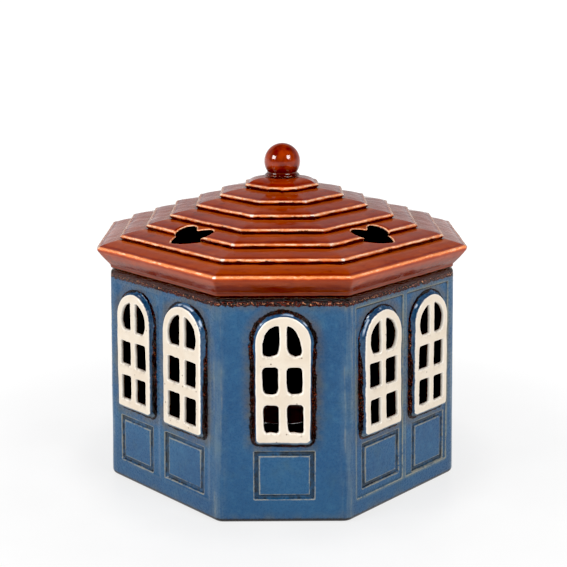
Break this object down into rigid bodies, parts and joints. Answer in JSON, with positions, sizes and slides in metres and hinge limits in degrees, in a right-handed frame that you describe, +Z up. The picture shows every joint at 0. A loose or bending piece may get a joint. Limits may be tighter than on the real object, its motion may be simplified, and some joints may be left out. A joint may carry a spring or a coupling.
{
  "type": "house tea light holder",
  "caption": "Glazed pottery tea light holder shaped like an octagonal house with pierced arched windows and a lift-off stepped roof with a ball knob.",
  "frame": {"origin": "centre of the underside, on the surface the holder stands on", "axes": "+Z up through the knob, -Y towards the front side with its single window, +X towards the right side"},
  "size_m": [0.166, 0.166, 0.1521],
  "materials": {
    "blue_glaze": "satin-gloss reactive blue glaze breaking to tan and brown on the edges",
    "cream_glaze": "gloss cream-white glaze with a dark seam line at the foot",
    "brown_glaze": "high-gloss amber-brown glaze breaking to orange on the edges",
    "cup_metal": "bright thin drawn sheet",
    "wax": "satin dark amber wax",
    "sustainer_metal": "thin pressed sheet",
    "wick_cotton": "waxed braided cotton"
  },
  "bodies": {
    "house": {"house_body": "blue_glaze", "window_front": "cream_glaze", "window_right": "cream_glaze", "window_back": "cream_glaze", "window_left": "cream_glaze", "window_front_right_a": "cream_glaze", "window_front_right_b": "cream_glaze", "window_back_right_a": "cream_glaze", "window_back_right_b": "cream_glaze", "window_back_left_a": "cream_glaze", "window_back_left_b": "cream_glaze", "window_front_left_a": "cream_glaze", "window_front_left_b": "cream_glaze"},
    "lid": {"roof_lid": "brown_glaze", "roof_knob": "brown_glaze"},
    "tealight": {"tealight_cup": "cup_metal", "tealight_wax": "wax", "wick_sustainer": "sustainer_metal", "wick": "wick_cotton"}
  },
  "joints": [
    {"name": "lid_lift", "type": "slide", "parent": "house", "child": "lid", "axis": [0, 0, 1], "range_m": [0, 0.08]},
    {"name": "tealight_lift", "type": "slide", "parent": "house", "child": "tealight", "axis": [0, 0, 1], "range_m": [0, 0.095]}
  ]
}
